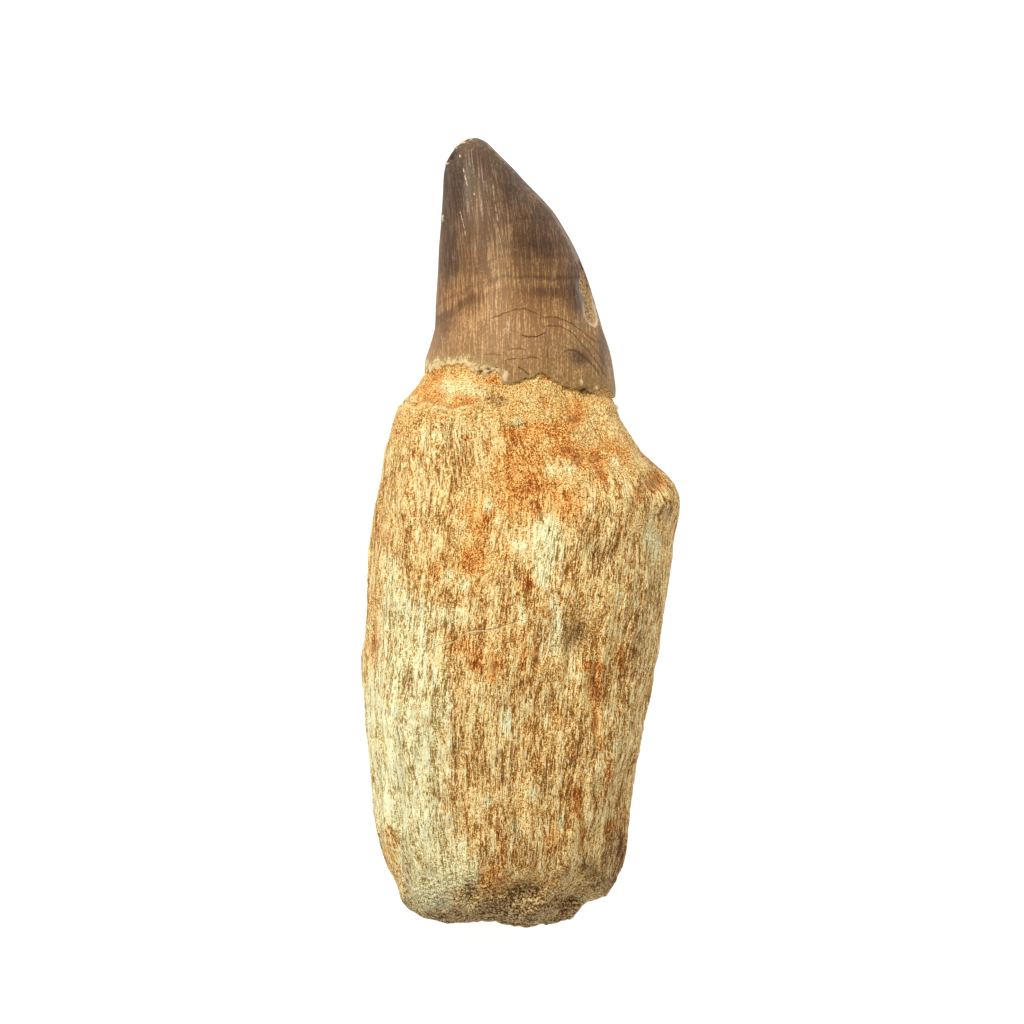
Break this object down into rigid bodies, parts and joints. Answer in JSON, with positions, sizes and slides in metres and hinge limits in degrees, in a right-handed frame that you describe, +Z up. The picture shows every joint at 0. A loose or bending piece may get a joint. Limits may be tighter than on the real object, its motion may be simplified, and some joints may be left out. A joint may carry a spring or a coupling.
{
  "type": "fossil tooth",
  "caption": "Fossil mosasaur tooth lying on its back: a curved, pointed brown enamel crown with cutting edges on a long, swollen root of tan fibrous bone.",
  "frame": {"origin": "on the surface that the tooth lies on, under the middle of its bounding box", "axes": "+Y along the tooth from the root's end to the crown's tip; +Z up, out of the face that looks up; +X towards the bulging side, where the root has its shoulder"},
  "size_m": [0.0492, 0.1202, 0.0391],
  "materials": {
    "tooth": "satin dark brown enamel on the crown, matt granular and fibrous tan bone on the root"
  },
  "bodies": {
    "root": {"tooth": "tooth"}
  },
  "joints": []
}
